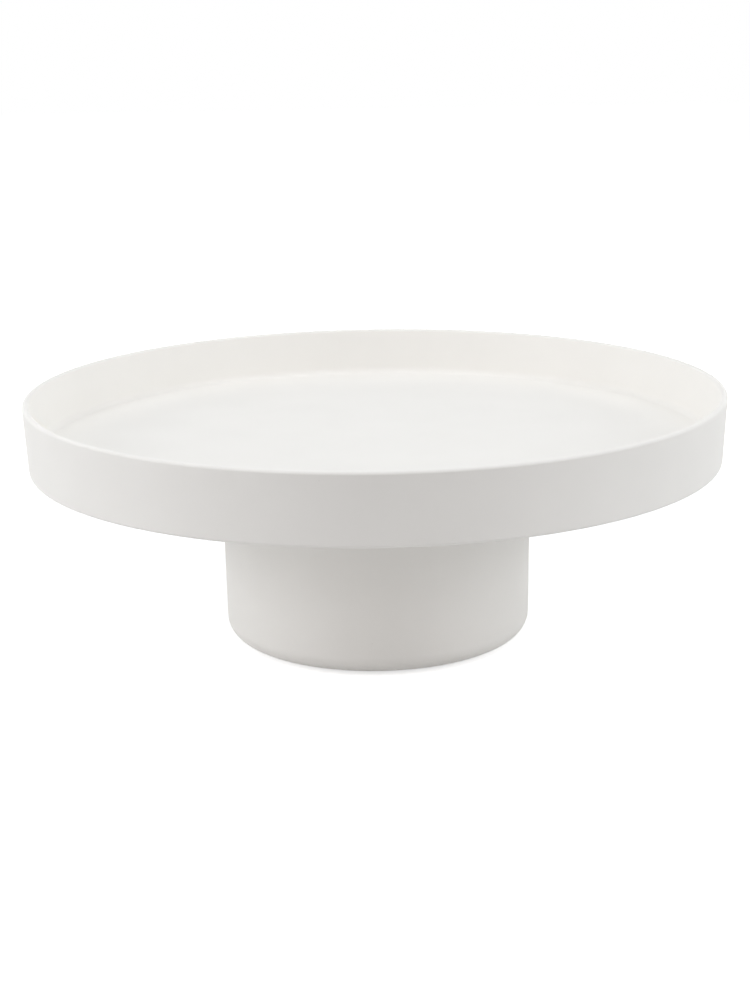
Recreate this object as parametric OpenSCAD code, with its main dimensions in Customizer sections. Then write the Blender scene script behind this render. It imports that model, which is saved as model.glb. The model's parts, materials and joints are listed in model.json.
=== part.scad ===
// Lazy susan turntable: a wide round dish that spins on a drum-shaped pedestal.
// Millimetres. The origin is the centre of the base on the table, and +Z is the spin axis, upwards.
// The dish runs on a thrust ball race, and a shoulder bolt through a bush holds it down.

/* [Overall] */
// Height from the table to the lip of the dish
overall_h = 108.5; // [95:0.5:135]

/* [Dish] */
// Outer diameter at the lip
dish_d = 300; // [240:1:360]
// Height of the outer wall, from its lower edge to the lip
dish_wall_h = 29; // [28:0.5:40]
// Depth inside, from the lip to the floor
dish_depth = 22; // [16:0.5:23]
// Thickness of the wall at the lip
dish_wall = 2.8; // [2.2:0.1:4]
// How much thicker the wall has grown where it meets the floor
dish_wall_swell = 0.4; // [0:0.1:1]
// Thickness of the floor
dish_floor = 3; // [2.2:0.1:4]
// How far the lower edge of the wall lies inside the lip
dish_lean = 1.5; // [0:0.1:2]
// Rounding of both edges of the lip
lip_round = 1.3; // [0.3:0.1:1.4]
// Rounding where the wall meets the floor inside
dish_fillet = 3; // [1:0.5:6]
// Rounding of the wall's lower outer edge
skirt_round = 1.5; // [0.5:0.1:2]

/* [Dish underside] */
// Number of radial ribs under the floor
dish_ribs = 12; // [8:4:24]
// Thickness of the ribs under the floor
dish_rib_t = 2; // [1.2:0.1:3]
// How far the ribs stop above the lower edge of the wall
rib_setback = 1.2; // [0.5:0.1:2]
// Number of short ribs that brace the hub
hub_ribs = 6; // [3:1:12]
// Radius of the ring rib halfway out
ring_rib_r = 108; // [90:1:115]
// Air between the drum's mouth and what turns over and around it
drum_gap = 2.5; // [1.5:0.1:4]
// Radius of the hub that hangs from the floor
hub_r = 9; // [8:0.5:14]
// Length of the hub below the floor
hub_len = 17.5; // [16:0.5:30]

/* [Pedestal drum] */
// Outer diameter at the mouth
drum_d = 134.6; // [115:0.2:180]
// How far the foot lies inside the mouth, on the radius
drum_lean = 0.9; // [0:0.1:3]
// Thickness of the wall
drum_wall = 3; // [2.4:0.1:4]
// Thickness of the floor
drum_floor = 3; // [2.4:0.1:4]
// Rounding of the bottom edge
foot_round = 8; // [3.2:0.1:10]
// Number of upright ribs inside, which carry the deck
drum_ribs = 12; // [8:4:24]
// Thickness of the upright ribs
drum_rib_t = 2; // [1.2:0.1:3]
// How far the upright ribs stand in from the wall
drum_rib_in = 3.6; // [3:0.1:6]

/* [Foot ring] */
// Width of the non-slip ring
foot_ring_w = 8; // [5:0.5:12]
// How far the ring stands out below the drum
foot_ring_proud = 0.8; // [0.5:0.1:1.5]
// Depth of the groove that holds the ring
foot_groove_depth = 1.4; // [0.8:0.1:1.6]
// Flat land between the rounded bottom edge and the ring
foot_land = 3.4; // [2:0.1:6]

/* [Deck] */
// Thickness of the plate
deck_t = 3; // [2.4:0.1:4]
// Number of ribs under the plate
deck_ribs = 8; // [4:4:16]
// Thickness of the ribs under the plate
deck_rib_t = 2; // [1.2:0.1:3]
// Radial room around the dish's hub inside the deck's pocket
pocket_room = 4.5; // [2:0.5:8]
// Depth of the ribs at the pocket
deck_rib_h = 8; // [5:0.5:12]

/* [Bearing] */
// Diameter of a ball
ball_d = 6; // [4.8:0.1:7.2]
// Number of balls
ball_count = 24; // [12:4:28]
// Radius of the circle that the balls run on
race_pitch_r = 40; // [34:0.5:48]
// Thickness of the pressed steel races
race_sheet = 1.2; // [0.8:0.1:1.6]
// Distance between the flat flanges of the two races
race_gap = 2.8; // [2.4:0.1:3.4]
// Thickness of the cage's collars around the balls
cage_t = 1.8; // [1.2:0.1:2.2]
// Thickness of the cage's web between the collars
cage_web_t = 1.1; // [0.8:0.1:1.2]
// Width of a collar around a ball
cage_collar_w = 1.3; // [1:0.1:1.6]
// Width of the flat flanges that the races sit on
race_seat_w = 2.6; // [2:0.1:4]
// Distance from the ball circle out to the race screws
race_screw_out = 8.2; // [7.6:0.1:10]
// Width of the outer flange beyond the race screws
race_rim_w = 4; // [3.2:0.1:6]

/* [Axle] */
// Diameter of the bolt's shoulder
axle_d = 8; // [6:0.5:10]
// Diameter of the bolt's threaded end
thread_d = 6; // [5:0.5:8]
// Length of the threaded end
thread_len = 10.5; // [8:0.5:12]
// Outer diameter of the brass insert
insert_d = 9.4; // [8:0.2:12]
// Length of the brass insert
insert_len = 12; // [9:0.5:14]
// Diameter of the bolt's head
axle_head_d = 15; // [13:0.5:18]
// Height of the bolt's head
axle_head_h = 5; // [4:0.5:7]
// Distance across the flats of the socket in the head
axle_socket = 5; // [4:1:6]
// Wall of the bush
bush_wall = 2; // [1.5:0.1:3]
// Length of the bush above its flange
bush_len = 12; // [8:0.5:16]
// Thickness of the bush's flange
bush_flange_t = 1.5; // [1:0.1:2.5]
// Width of the bush's flange
bush_flange_w = 3.4; // [2:0.1:5]
// Wall of the deck's hub around the bush
deck_hub_wall = 3.5; // [2.5:0.1:5]
// Thickness of the nylon and steel washers
washer_t = 1; // [0.6:0.1:1.6]
// Outer diameter of the washers
washer_d = 18; // [15:0.5:20]
// Height of the disc spring as it sits
spring_h = 1.3; // [1:0.1:2]
// Thickness of the disc spring's steel
spring_t = 0.8; // [0.5:0.1:1]

/* [Screws] */
// Diameter of the race screws
race_screw_d = 3; // [2.5:0.5:3.5]
// Length of the race screws
race_screw_len = 6; // [5:0.5:8]
// Diameter of the deck and ballast screws
deck_screw_d = 4; // [3:0.5:5]
// Length of the deck screws below their heads
deck_screw_len = 18; // [12:1:24]
// Length of the ballast screws below their heads
ballast_screw_len = 8; // [6:0.5:9]
// Wall of a boss around its screw
boss_wall = 2.4; // [1.8:0.1:3.5]
// Height of the screw wells above the drum's floor
well_h = 21; // [15:1:30]
// Wall of a screw well
well_wall = 2.2; // [1.8:0.1:3]

/* [Ballast] */
// Thickness of the steel ballast plate
ballast_t = 8; // [4:0.5:10]
// Thickness of the foam pad below it
ballast_pad_t = 1; // [0.5:0.1:2]
// Number of ballast screws
ballast_screw_count = 3; // [3:1:6]
// Radius of the circle of ballast screws
ballast_screw_r = 26; // [22:1:34]

/* [Fits] */
// Radial running clearance of the axle in its bush
axle_fit = 0.05; // [0.02:0.01:0.1]
// Running clearance between a ball and its races
ball_fit = 0.1; // [0.04:0.01:0.2]
// Clearance of a ball in its cage pocket
pocket_fit = 0.15; // [0.1:0.01:0.3]
// Axial play between the thrust washer and the bush
thrust_fit = 0.1; // [0.05:0.01:0.3]
// Gap between the dish's hub and the bush
hub_fit = 0.6; // [0.4:0.1:1]
// Clearance of the deck in the drum, and of loose pieces around their bosses
seat_fit = 0.25; // [0.1:0.05:0.5]
// Clearance of the non-slip ring in its groove
ring_fit = 0.1; // [0.05:0.05:0.3]
// Clearance around screws in their holes
screw_fit = 0.05; // [0.02:0.01:0.2]

/* [Hidden] */
$fn = 96;

// Cutters reach this far past the face they start from
past = 1;
// Webs and bosses reach this far into the plate or wall that they grow from
sink = 1;
// Blind holes go on this far past the screw's tip
tip_room = 0.6;

// Dish, from the lip down
lip_r = dish_d / 2;
skirt_z = overall_h - dish_wall_h;
floor_z = overall_h - dish_depth;
under_z = floor_z - dish_floor;
floor_mid_z = floor_z - dish_floor / 2;
rib_foot_z = skirt_z + rib_setback;
skirt_out_r = lip_r - dish_lean;
skirt_in_r = skirt_out_r - dish_wall;

// Bearing: both races curve around the balls, and their flanges face each other across race_gap
ball_r = ball_d / 2;
groove_r = ball_r + ball_fit;
bulge_r = groove_r + race_sheet;
flange_front = race_gap / 2;
flange_back = flange_front + race_sheet;
bulge_h = bulge_r - flange_back;
bulge_half_w = sqrt(pow(bulge_r, 2) - pow(flange_back, 2));
bulge_room = 0.4;
dish_seat_room = 2.3;
deck_seat_room = 1.3;
seat_in_r = race_pitch_r - bulge_half_w - bulge_room;
seat_out_r = race_pitch_r + bulge_half_w + bulge_room;
race_in_r = seat_in_r - race_seat_w;
race_screw_r = race_pitch_r + race_screw_out;
race_out_r = race_screw_r + race_rim_w;
race_hole_depth = race_screw_len - race_sheet + tip_room;
dish_seat_h = bulge_h + dish_seat_room;
deck_seat_h = bulge_h + deck_seat_room;
upper_seat_z = under_z - dish_seat_h;
ball_z = upper_seat_z - flange_back;
lower_seat_z = ball_z - flange_back;
race_screw_count = 4;
race_screw_turn = 45;

// Deck
deck_z = lower_seat_z - deck_seat_h;
deck_under_z = deck_z - deck_t;
deck_mid_z = deck_z - deck_t / 2;

// Drum
base_z = foot_ring_proud;
drum_top_z = under_z - drum_gap;
drum_mouth_r = drum_d / 2;
drum_ring_in_r = drum_mouth_r + drum_gap;
drum_base_r = drum_mouth_r - drum_lean;
function drum_inner_r(z) =
    drum_base_r - drum_wall + drum_lean * (z - base_z) / (drum_top_z - base_z);
drum_rib_r = drum_base_r - drum_wall - drum_rib_in + sink;
drum_floor_z = base_z + drum_floor;
deck_r = drum_inner_r(deck_under_z) - seat_fit;
foot_ring_out_r = drum_base_r - foot_round - foot_land;
foot_ring_in_r = foot_ring_out_r - foot_ring_w;

// Deck screws, up through wells in the drum's floor
deck_screw_count = 4;
deck_head_d = deck_screw_d * 1.9;
deck_head_h = deck_screw_d * 0.6;
well_bore_r = deck_head_d / 2 + 0.4;
well_r = well_bore_r + well_wall;
well_top_z = drum_floor_z + well_h;
well_cap = 3;
well_to_ring = 1;
post_r = foot_ring_in_r - well_r - well_to_ring;
boss_r = deck_screw_d / 2 + boss_wall;

// Axle, from the dish's hub down
axle_r = axle_d / 2;
hub_z = under_z - hub_len;
thread_room = 1.5;
bush_r = axle_r + axle_fit + bush_wall;
bush_top_z = hub_z - hub_fit;
bush_foot_z = bush_top_z - bush_len;
bush_flange_z = bush_foot_z - bush_flange_t;
thrust_top_z = bush_flange_z - thrust_fit;
flat_top_z = thrust_top_z - washer_t;
spring_top_z = flat_top_z - washer_t;
axle_head_z = spring_top_z - spring_h;
deck_hub_r = bush_r + deck_hub_wall;
pocket_r = hub_r + pocket_room;
pocket_wall = 2.5;
pocket_below_bush = 4;
pocket_floor_z = bush_top_z - pocket_below_bush;
pocket_mid_r = pocket_r + pocket_wall / 2;
deck_rib_z = deck_under_z - deck_rib_h;
deck_rib_tip = 2;
deck_rib_end = drum_rib_r - 1;

// Ballast
ballast_z = drum_floor_z + ballast_pad_t;
ballast_top_z = ballast_z + ballast_t;
ballast_edge_room = 1;
ballast_grip = 0.3;
// The plate lies on the flat of the drum's floor, inside the ribs and the rounded corner
ballast_r = min(drum_rib_r, drum_base_r - foot_round) - ballast_edge_room;
ballast_boss_z = ballast_top_z - ballast_grip;
ballast_turn = 45;

// ---------- Shared shapes ----------

function unit(v) = v / norm(v);
function half_angle(a, b, c) = acos(unit(a - b) * unit(c - b)) / 2;
function tangent_len(a, b, c, r) = r / tan(half_angle(a, b, c));
function arc_centre(a, b, c, r) =
    b + unit(unit(a - b) + unit(c - b)) * r / sin(half_angle(a, b, c));
function xy(corner) = [corner[0], corner[1]];

// The sliver between a corner's chord and its true arc
module corner_cap(a, b, c, r) {
    reach = tangent_len(a, b, c, r);
    intersection() {
        translate(arc_centre(a, b, c, r)) circle(r);
        polygon([b + reach * unit(a - b), b, b + reach * unit(c - b)]);
    }
}

// An outline of [x, y, rounding] corners, anticlockwise, with every rounding a true arc
module rounded_outline(corners) {
    count = len(corners);
    before = [for (i = [0 : count - 1]) xy(corners[(i + count - 1) % count])];
    at = [for (corner = corners) xy(corner)];
    after = [for (i = [0 : count - 1]) xy(corners[(i + 1) % count])];
    round_r = [for (corner = corners) corner[2]];
    turn = [for (i = [0 : count - 1]) cross(at[i] - before[i], after[i] - at[i])];
    difference() {
        union() {
            polygon([
                for (i = [0 : count - 1])
                    for (side = round_r[i] > 0 ? [before[i], after[i]] : [at[i]])
                        round_r[i] > 0
                            ? at[i] + tangent_len(before[i], at[i], after[i], round_r[i])
                                * unit(side - at[i])
                            : side
            ]);
            for (i = [0 : count - 1])
                if (round_r[i] > 0 && turn[i] > 0)
                    corner_cap(before[i], at[i], after[i], round_r[i]);
        }
        for (i = [0 : count - 1])
            if (round_r[i] > 0 && turn[i] < 0)
                corner_cap(before[i], at[i], after[i], round_r[i]);
    }
}

// Copies around the spin axis, the first at angle start
module around(count, radius, start = 0) {
    for (i = [0 : count - 1])
        rotate([0, 0, start + i * 360 / count]) translate([radius, 0, 0]) children();
}

// A flat ring or tube from z = low to z = high
module tube(out_r, in_r, low, high) {
    rotate_extrude() translate([in_r, low]) square([out_r - in_r, high - low]);
}

// A rib of thickness t whose outline is drawn as [radius, height] points
module radial_rib(t, points) {
    rotate([90, 0, 0]) linear_extrude(t, center = true) polygon(points);
}

// A cross recess for a driver, cut down from z = 0
module cross_recess(width, depth) {
    for (turn = [0, 90])
        rotate([0, 0, turn])
            translate([-width / 2, -width / 8, -depth])
                cube([width, width / 4, depth + past]);
}

// A round-headed screw: the head stands on z = 0 and the shank points down
module pan_screw(shank_d, head_d, head_h, length) {
    edge = head_h / 3;
    difference() {
        rotate_extrude() rounded_outline([
            [0, 0, 0], [head_d / 2, 0, 0], [head_d / 2, head_h, edge], [0, head_h, 0]
        ]);
        translate([0, 0, head_h]) cross_recess(head_d * 0.55, head_h * 0.6);
    }
    rotate_extrude() polygon([
        [0, -length], [shank_d * 0.3, -length], [shank_d / 2, -length + shank_d * 0.5],
        [shank_d / 2, 0], [0, 0]
    ]);
}

// A countersunk screw: the head's flat top is z = 0 and the shank points down
module flush_screw(shank_d, head_h, length) {
    head_r = shank_d / 2 + head_h;
    difference() {
        rotate_extrude() polygon([
            [0, 0], [0, -length], [shank_d * 0.3, -length],
            [shank_d / 2, -length + shank_d * 0.5], [shank_d / 2, -head_h], [head_r, 0]
        ]);
        cross_recess(shank_d * 0.9, head_h * 0.8);
    }
}

// The countersunk hole that flush_screw sits in, through a sheet with its front at z = 0
module flush_hole(shank_d, head_h) {
    head_r = shank_d / 2 + head_h + screw_fit;
    rotate_extrude() polygon([
        [0, past], [0, -head_h - past], [shank_d / 2 + screw_fit, -head_h - past],
        [shank_d / 2 + screw_fit, -head_h], [head_r, 0], [head_r, past]
    ]);
}

// ---------- Dish ----------

// The dish's wall, floor and skirt
module dish_shell() {
    wall_at_floor = dish_wall + dish_wall_swell;
    outer_at_floor = lip_r - dish_lean * dish_depth / dish_wall_h;
    // A thin wall limits the rounding of its lip
    lip_edge = min(lip_round, dish_wall / 2 - 0.1);
    rotate_extrude() rounded_outline([
        [0, under_z, 0],
        [skirt_in_r, under_z, 1.5],
        [skirt_in_r, skirt_z, 0.4],
        [skirt_out_r, skirt_z, skirt_round],
        [lip_r, overall_h, lip_edge],
        [lip_r - dish_wall, overall_h, lip_edge],
        [outer_at_floor - wall_at_floor, floor_z, dish_fillet],
        [0, floor_z, 0]
    ]);
}

// The long ribs pass over the drum's mouth and deepen outside it
module dish_rib() {
    skirt_mid_r = skirt_in_r + dish_wall / 2;
    over_drum_z = under_z - 1;
    seat_rib_z = upper_seat_z + 1;
    seat_rib_end = race_out_r + 2;
    radial_rib(dish_rib_t, [
        [seat_out_r, floor_mid_z], [seat_out_r, seat_rib_z],
        [seat_rib_end, seat_rib_z], [seat_rib_end + 2, over_drum_z],
        [drum_ring_in_r, over_drum_z], [drum_ring_in_r, rib_foot_z],
        [skirt_mid_r, rib_foot_z], [skirt_mid_r, floor_mid_z]
    ]);
}

// The short ribs brace the hub
module hub_rib() {
    reach = race_in_r + sink;
    foot_z = hub_z + 3;
    radial_rib(dish_rib_t, [
        [hub_r - sink, floor_mid_z], [hub_r - sink, foot_z],
        [hub_r + 0.5, foot_z], [hub_r + 4, under_z - 4], [reach, under_z - 3],
        [reach, floor_mid_z]
    ]);
}

module dish() {
    color("#f0efec") difference() {
        union() {
            dish_shell();
            tube(seat_in_r, race_in_r, upper_seat_z, floor_mid_z);
            tube(seat_out_r + race_seat_w, seat_out_r, upper_seat_z, floor_mid_z);
            tube(drum_ring_in_r + dish_rib_t, drum_ring_in_r, rib_foot_z, floor_mid_z);
            tube(ring_rib_r + dish_rib_t / 2, ring_rib_r - dish_rib_t / 2,
                rib_foot_z, floor_mid_z);
            around(race_screw_count, race_screw_r, race_screw_turn)
                translate([0, 0, upper_seat_z])
                    cylinder(h = floor_mid_z - upper_seat_z, r = race_rim_w);
            around(dish_ribs, 0, 180 / dish_ribs) dish_rib();
            around(hub_ribs, 0) hub_rib();
            translate([0, 0, hub_z]) cylinder(h = floor_mid_z - hub_z, r = hub_r);
        }
        around(race_screw_count, race_screw_r, race_screw_turn)
            translate([0, 0, upper_seat_z - past])
                cylinder(h = race_hole_depth + past, d = race_screw_d + 2 * screw_fit);
        translate([0, 0, hub_z - past])
            cylinder(h = insert_len + past, d = insert_d + 2 * screw_fit);
        translate([0, 0, hub_z])
            cylinder(h = insert_len + thread_room, d = thread_d + 2 * screw_fit);
    }
}

// ---------- Pedestal ----------

module drum_shell() {
    rotate_extrude() rounded_outline([
        [0, base_z, 0],
        [drum_base_r, base_z, foot_round],
        [drum_mouth_r, drum_top_z, 0.8],
        [drum_mouth_r - drum_wall, drum_top_z, 0.4],
        [drum_base_r - drum_wall, drum_floor_z, foot_round - drum_wall],
        [0, drum_floor_z, 0]
    ]);
}

// The foot of an upright rib slopes up inside the wall, to stay within its rounding
module drum_rib() {
    wall_mid = drum_base_r - drum_wall / 2;
    radial_rib(drum_rib_t, [
        [drum_rib_r, deck_under_z], [drum_rib_r, drum_floor_z - sink],
        [wall_mid, base_z + foot_round], [wall_mid, deck_under_z]
    ]);
}

module pedestal_drum() {
    floor_mid = base_z + drum_floor / 2;
    color("#eeedea") difference() {
        union() {
            drum_shell();
            around(drum_ribs, 0) drum_rib();
            around(deck_screw_count, post_r)
                translate([0, 0, floor_mid]) cylinder(h = well_top_z - floor_mid, r = well_r);
            around(ballast_screw_count, ballast_screw_r, ballast_turn)
                translate([0, 0, floor_mid]) cylinder(h = ballast_boss_z - floor_mid, r = boss_r);
        }
        tube(foot_ring_out_r + ring_fit, foot_ring_in_r - ring_fit,
            base_z - past, base_z + foot_groove_depth);
        around(deck_screw_count, post_r) {
            translate([0, 0, base_z - past])
                cylinder(h = well_top_z - well_cap - base_z + past, r = well_bore_r);
            translate([0, 0, base_z])
                cylinder(h = well_top_z - base_z + past, d = deck_screw_d + 2 * seat_fit);
        }
        around(ballast_screw_count, ballast_screw_r, ballast_turn)
            translate([0, 0, ballast_top_z - ballast_screw_len - tip_room])
                cylinder(h = ballast_screw_len + past + tip_room,
                    d = deck_screw_d + 2 * screw_fit);
    }
}

module deck_rib() {
    radial_rib(deck_rib_t, [
        [pocket_mid_r, deck_mid_z], [pocket_mid_r, deck_rib_z],
        [pocket_r + pocket_wall + 2, deck_rib_z],
        [deck_rib_end, deck_under_z - deck_rib_tip], [deck_rib_end, deck_mid_z]
    ]);
}

// The plate, with the pocket that the dish's hub turns in, drawn as one outline
module deck_plate() {
    rotate_extrude() rounded_outline([
        [bush_r + screw_fit, bush_foot_z, 0],
        [deck_hub_r, bush_foot_z, 0.5],
        [deck_hub_r, pocket_floor_z - deck_t, 1],
        [pocket_r + pocket_wall, pocket_floor_z - deck_t, 2],
        [pocket_r + pocket_wall, deck_under_z, 1],
        [deck_r, deck_under_z, 0.4],
        [deck_r, deck_z, 0.6],
        [pocket_r, deck_z, 0.8],
        [pocket_r, pocket_floor_z, 1],
        [deck_hub_r, pocket_floor_z, 0.5],
        [deck_hub_r, bush_top_z, 0.5],
        [bush_r + screw_fit, bush_top_z, 0]
    ]);
}

module pedestal_deck() {
    boss_floor = 1.5;
    color("#e4e3e0") difference() {
        union() {
            deck_plate();
            tube(seat_in_r, race_in_r, deck_mid_z, lower_seat_z);
            tube(seat_out_r + race_seat_w, seat_out_r, deck_mid_z, lower_seat_z);
            around(race_screw_count, race_screw_r, race_screw_turn)
                translate([0, 0, lower_seat_z - race_hole_depth - boss_floor])
                    cylinder(h = race_hole_depth + boss_floor, r = race_rim_w);
            around(deck_screw_count, post_r)
                translate([0, 0, well_top_z]) cylinder(h = deck_mid_z - well_top_z, r = boss_r);
            around(deck_ribs, 0, 180 / deck_ribs) deck_rib();
            around(deck_screw_count, 0) boss_brace();
        }
        around(race_screw_count, race_screw_r, race_screw_turn)
            translate([0, 0, lower_seat_z - race_hole_depth])
                cylinder(h = race_hole_depth + past, d = race_screw_d + 2 * screw_fit);
        around(deck_screw_count, post_r)
            translate([0, 0, well_top_z - past])
                cylinder(h = deck_screw_len - well_cap + past + tip_room,
                    d = deck_screw_d + 2 * screw_fit);
    }
}

// A tapered web on each side of a long boss, in line with the radius
module boss_brace() {
    low = well_top_z + deck_screw_len;
    radial_rib(deck_rib_t, [
        [pocket_mid_r, deck_mid_z], [pocket_mid_r, deck_rib_z],
        [post_r - boss_r / 2, low], [post_r + boss_r / 2, low],
        [deck_rib_end, deck_under_z - deck_rib_tip], [deck_rib_end, deck_mid_z]
    ]);
}

module deck_screws() {
    color("#b9bcc0")
        around(deck_screw_count, post_r)
            translate([0, 0, well_top_z - well_cap])
                rotate([180, 0, 0])
                    pan_screw(deck_screw_d, deck_head_d, deck_head_h, deck_screw_len);
}

module foot_ring() {
    color("#8d8d8c") rotate_extrude() rounded_outline([
        [foot_ring_in_r, 0, 0.4],
        [foot_ring_out_r, 0, 0.4],
        [foot_ring_out_r, base_z + foot_groove_depth, 0],
        [foot_ring_in_r, base_z + foot_groove_depth, 0]
    ]);
}

// A flat disc with holes that clear the screw wells and the ballast bosses
module ballast_disc(low, high) {
    difference() {
        translate([0, 0, low]) cylinder(h = high - low, r = ballast_r);
        around(deck_screw_count, post_r)
            translate([0, 0, low - past]) cylinder(h = high - low + 2 * past, r = well_r + 0.5);
        around(ballast_screw_count, ballast_screw_r, ballast_turn)
            translate([0, 0, low - past])
                cylinder(h = high - low + 2 * past, r = boss_r + seat_fit);
    }
}

module ballast_plate() {
    color("#7d8084") ballast_disc(ballast_z, ballast_top_z);
}

module ballast_pad() {
    color("#3b3c3e") ballast_disc(drum_floor_z, ballast_z);
}

module ballast_screws() {
    head_d = 2 * boss_r + 5;
    color("#b9bcc0")
        around(ballast_screw_count, ballast_screw_r, ballast_turn)
            translate([0, 0, ballast_top_z])
                pan_screw(deck_screw_d, head_d, deck_head_h, ballast_screw_len);
}

// ---------- Bearing ----------

// The upper race around z = 0, the height of the balls' centres: one sheet, pressed round the balls
module race_ring() {
    difference() {
        rotate_extrude() difference() {
            union() {
                translate([race_in_r, flange_front]) square([race_out_r - race_in_r, race_sheet]);
                intersection() {
                    translate([race_pitch_r, 0]) circle(bulge_r);
                    translate([race_pitch_r - bulge_r, flange_front])
                        square([2 * bulge_r, bulge_r]);
                }
            }
            translate([race_pitch_r, 0]) circle(groove_r);
        }
        around(race_screw_count, race_screw_r, race_screw_turn)
            translate([0, 0, flange_front]) rotate([180, 0, 0])
                flush_hole(race_screw_d, race_sheet);
    }
}

module upper_race() {
    color("#c9ccd0") translate([0, 0, ball_z]) race_ring();
}

module lower_race() {
    color("#c9ccd0") translate([0, 0, ball_z]) mirror([0, 0, 1]) race_ring();
}

module upper_race_screws() {
    color("#b9bcc0")
        around(race_screw_count, race_screw_r, race_screw_turn)
            translate([0, 0, ball_z + flange_front]) rotate([180, 0, 0])
                flush_screw(race_screw_d, race_sheet, race_screw_len);
}

module lower_race_screws() {
    color("#b9bcc0")
        around(race_screw_count, race_screw_r, race_screw_turn)
            translate([0, 0, ball_z - flange_front])
                flush_screw(race_screw_d, race_sheet, race_screw_len);
}

module ball_cage() {
    pocket_hole_r = ball_r + pocket_fit;
    collar_r = pocket_hole_r + cage_collar_w;
    color("#e9e4d2") difference() {
        union() {
            tube(race_pitch_r + collar_r - 0.5, race_pitch_r - collar_r + 0.5,
                ball_z - cage_web_t / 2, ball_z + cage_web_t / 2);
            around(ball_count, race_pitch_r)
                translate([0, 0, ball_z - cage_t / 2]) cylinder(h = cage_t, r = collar_r);
        }
        around(ball_count, race_pitch_r)
            translate([0, 0, ball_z - cage_t]) cylinder(h = 2 * cage_t, r = pocket_hole_r);
    }
}

module bearing_balls() {
    color("#d8dadd")
        around(ball_count, race_pitch_r) translate([0, 0, ball_z]) sphere(r = ball_r);
}

// ---------- Axle ----------

module axle_bush() {
    color("#f4f2ea") rotate_extrude() rounded_outline([
        [axle_r + axle_fit, bush_flange_z, 0],
        [bush_r + bush_flange_w, bush_flange_z, 0.3],
        [bush_r + bush_flange_w, bush_foot_z, 0.3],
        [bush_r, bush_foot_z, 0],
        [bush_r, bush_top_z, 0.4],
        [axle_r + axle_fit, bush_top_z, 0]
    ]);
}

module hub_insert() {
    grip = 0.5;
    insert_r = insert_d / 2;
    top_z = hub_z + insert_len;
    color("#c9a24b") rotate_extrude() polygon([
        [thread_d / 2 + screw_fit, hub_z], [insert_r, hub_z],
        [insert_r, hub_z + insert_len * 0.4], [insert_r - grip, hub_z + insert_len * 0.45],
        [insert_r - grip, hub_z + insert_len * 0.55], [insert_r, hub_z + insert_len * 0.6],
        [insert_r, top_z - grip], [insert_r - grip, top_z], [thread_d / 2 + screw_fit, top_z]
    ]);
}

module axle_bolt() {
    head_r = axle_head_d / 2;
    foot_z = axle_head_z - axle_head_h;
    color("#b4b7bb") difference() {
        rotate_extrude() rounded_outline([
            [0, foot_z, 0],
            [head_r, foot_z, 0.6],
            [head_r, axle_head_z, 0.3],
            [axle_r, axle_head_z, 0],
            [axle_r, hub_z, 0.3],
            [thread_d / 2, hub_z, 0],
            [thread_d / 2, hub_z + thread_len, 0.6],
            [0, hub_z + thread_len, 0]
        ]);
        translate([0, 0, foot_z - past])
            cylinder(h = axle_head_h * 0.55 + past, d = axle_socket / cos(30), $fn = 6);
    }
}

module thrust_washer() {
    color("#f2efe4") tube(washer_d / 2, axle_r + seat_fit, flat_top_z, thrust_top_z);
}

module flat_washer() {
    color("#b9bcc0") tube(washer_d / 2, axle_r + seat_fit, spring_top_z, flat_top_z);
}

// A shallow cone: its inner edge bears on the flat washer, its outer edge on the bolt's head
module disc_spring() {
    in_r = axle_r + seat_fit;
    out_r = axle_head_d / 2 - 0.4;
    color("#9a9da1") rotate_extrude() polygon([
        [out_r, axle_head_z], [out_r, axle_head_z + spring_t],
        [in_r, spring_top_z], [in_r, spring_top_z - spring_t]
    ]);
}

dish();
pedestal_drum();
pedestal_deck();
deck_screws();
foot_ring();
ballast_plate();
ballast_pad();
ballast_screws();
lower_race();
lower_race_screws();
upper_race();
upper_race_screws();
ball_cage();
bearing_balls();
axle_bush();
hub_insert();
axle_bolt();
thrust_washer();
flat_washer();
disc_spring();
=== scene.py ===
"""A white moulded lazy susan: a wide dish that turns on a drum-shaped pedestal."""
import json
import math

import bpy
from mathutils import Matrix, Vector


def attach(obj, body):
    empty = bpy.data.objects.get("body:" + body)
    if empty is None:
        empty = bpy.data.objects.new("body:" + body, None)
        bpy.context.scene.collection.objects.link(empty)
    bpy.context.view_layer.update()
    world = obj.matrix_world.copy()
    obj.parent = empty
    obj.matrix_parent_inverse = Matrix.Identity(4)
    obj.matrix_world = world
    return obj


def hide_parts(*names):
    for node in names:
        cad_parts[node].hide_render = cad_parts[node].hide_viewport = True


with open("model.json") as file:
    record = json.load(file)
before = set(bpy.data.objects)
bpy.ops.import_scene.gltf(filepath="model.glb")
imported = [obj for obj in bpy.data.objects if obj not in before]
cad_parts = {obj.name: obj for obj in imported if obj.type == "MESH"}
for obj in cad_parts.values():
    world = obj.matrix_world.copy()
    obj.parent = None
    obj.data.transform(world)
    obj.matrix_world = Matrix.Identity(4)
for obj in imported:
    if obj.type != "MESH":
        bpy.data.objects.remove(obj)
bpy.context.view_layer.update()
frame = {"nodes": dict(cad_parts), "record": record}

MM = 0.001
HALF_TURN = math.pi
FULL_TURN = 2 * math.pi
QUARTER_TURN = FULL_TURN / 4
EIGHTH_TURN = FULL_TURN / 8


def add(tree, kind, inputs=None, **settings):
    """Adds one node: its settings, and the value or the links (several in a list) of its sockets."""
    node = tree.nodes.new(kind)
    for name, value in settings.items():
        setattr(node, name, value)
    for socket, value in (inputs or {}).items():
        for source in value if isinstance(value, list) else [value]:
            if isinstance(source, bpy.types.NodeSocket):
                tree.links.new(source, node.inputs[socket])
            else:
                node.inputs[socket].default_value = source
    return node


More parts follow.
